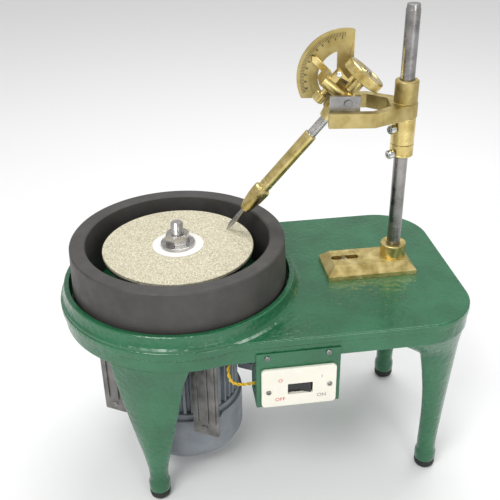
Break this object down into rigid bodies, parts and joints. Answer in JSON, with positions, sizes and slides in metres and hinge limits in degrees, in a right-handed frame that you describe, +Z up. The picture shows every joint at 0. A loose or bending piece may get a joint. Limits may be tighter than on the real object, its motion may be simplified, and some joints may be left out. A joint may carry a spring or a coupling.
{
  "type": "faceting machine",
  "caption": "Benchtop faceting machine: a cast table on legs with a motor-driven lap in a splash ring, a mast with a fork arm, a tilting head and an indexed dop quill.",
  "frame": {"origin": "on the floor under the middle of the table", "axes": "+X along the table from the lap to the mast, +Y across it away from the switch, +Z up"},
  "size_m": [0.4026, 0.242, 0.4811],
  "materials": {
    "green": "hammered enamel, semi-gloss",
    "rubber": "matte moulded rubber",
    "ring": "matte black moulding with greyed edges",
    "iron": "machined and oiled",
    "lap": "fine bonded grit, dull",
    "label": "matte card",
    "steel": "turned, fine lines",
    "chrome": "bright",
    "motor_grey": "satin grey enamel",
    "black_plastic": "satin black",
    "white_plastic": "satin ivory",
    "lead": "matte yellow insulation",
    "brass": "turned and polished, lightly tarnished"
  },
  "bodies": {
    "table": {"table_casting": "green", "leg_front_left": "green", "leg_front_right": "green", "leg_rear_left": "green", "leg_rear_right": "green", "foot_front_left": "rubber", "foot_front_right": "rubber", "foot_rear_left": "rubber", "foot_rear_right": "rubber", "splash_ring": "ring", "motor_stator": "motor_grey", "motor_upper_bell": "motor_grey", "motor_fan_cowl": "motor_grey", "motor_hanger_a": "motor_grey", "motor_hanger_b": "motor_grey", "motor_hanger_c": "motor_grey", "motor_hanger_d": "motor_grey", "bearing_upper": "chrome", "bearing_lower": "chrome", "switch_bracket": "green", "switch_plate": "white_plastic", "switch_body": "black_plastic", "plate_screw_left": "steel", "plate_screw_right": "steel", "bracket_screw_left": "steel", "bracket_screw_right": "steel", "motor_lead": "lead", "base_bolt": "steel"},
    "spindle": {"spindle_shaft": "steel", "motor_rotor": "steel", "motor_fan": "black_plastic", "platen": "iron", "lap_disc": "lap", "lap_label": "label", "clamp_washer": "steel", "lap_nut": "steel"},
    "rocker": {"switch_rocker": "black_plastic"},
    "mast_base": {"base_plate": "brass", "mast": "steel"},
    "carriage": {"stop_collar": "brass", "stop_screw": "chrome", "lower_sleeve": "brass", "sleeve_screw": "chrome"},
    "arm": {"fork_arm": "brass", "trunnion_yoke": "steel", "trunnion_pin_near": "steel", "trunnion_pin_far": "steel", "quadrant": "brass"},
    "head": {"head_body": "brass", "pointer": "brass", "pawl_pin": "chrome"},
    "thumb": {"thumb_screw": "brass"},
    "pawl": {"index_pawl": "brass"},
    "quill": {"quill_shaft": "steel", "quill_neck": "brass", "index_drum": "brass", "quill_sleeve": "brass", "dop": "steel"},
    "chuck": {"collet_chuck": "brass"}
  },
  "joints": [
    {"name": "spindle_spin", "type": "hinge", "parent": "table", "child": "spindle", "pos_m": [-0.0803, 0, 0.26], "axis": [0, 0, 1], "continuous": true},
    {"name": "switch_rock", "type": "hinge", "parent": "table", "child": "rocker", "pos_m": [0.0217, -0.11268, 0.1575], "axis": [0, 0, 1], "range_deg": [0, 16]},
    {"name": "base_slide", "type": "slide", "parent": "table", "child": "mast_base", "axis": [1, 0, 0], "range_m": [-0.01, 0.01]},
    {"name": "height_slide", "type": "slide", "parent": "mast_base", "child": "carriage", "axis": [0, 0, 1], "range_m": [0, 0.062]},
    {"name": "arm_swing", "type": "hinge", "parent": "carriage", "child": "arm", "pos_m": [0.1423, 0, 0.3835], "axis": [0, 0, 1], "range_deg": [-9, 24]},
    {"name": "quill_tilt", "type": "hinge", "parent": "arm", "child": "head", "pos_m": [0.08605, 0.00791, 0.3972], "axis": [0.1392, 0.9903, 0], "range_deg": [0, 38]},
    {"name": "quill_index", "type": "hinge", "parent": "head", "child": "quill", "pos_m": [0.08605, 0.00791, 0.3972], "axis": [0.6312, -0.0887, 0.7705], "continuous": true},
    {"name": "chuck_turn", "type": "hinge", "parent": "quill", "child": "chuck", "pos_m": [0.00084, 0.01988, 0.29318], "axis": [0.6312, -0.0887, 0.7705], "continuous": true},
    {"name": "thumb_turn", "type": "hinge", "parent": "head", "child": "thumb", "pos_m": [0.06118, 0.00938, 0.39698], "axis": [0.6312, -0.0887, 0.7705], "continuous": true},
    {"name": "pawl_lift", "type": "hinge", "parent": "head", "child": "pawl", "pos_m": [0.07748, 0.00366, 0.4206], "axis": [0.1392, 0.9903, 0], "range_deg": [0, 10], "stiffness_Nm_per_rad": 0.03}
  ]
}
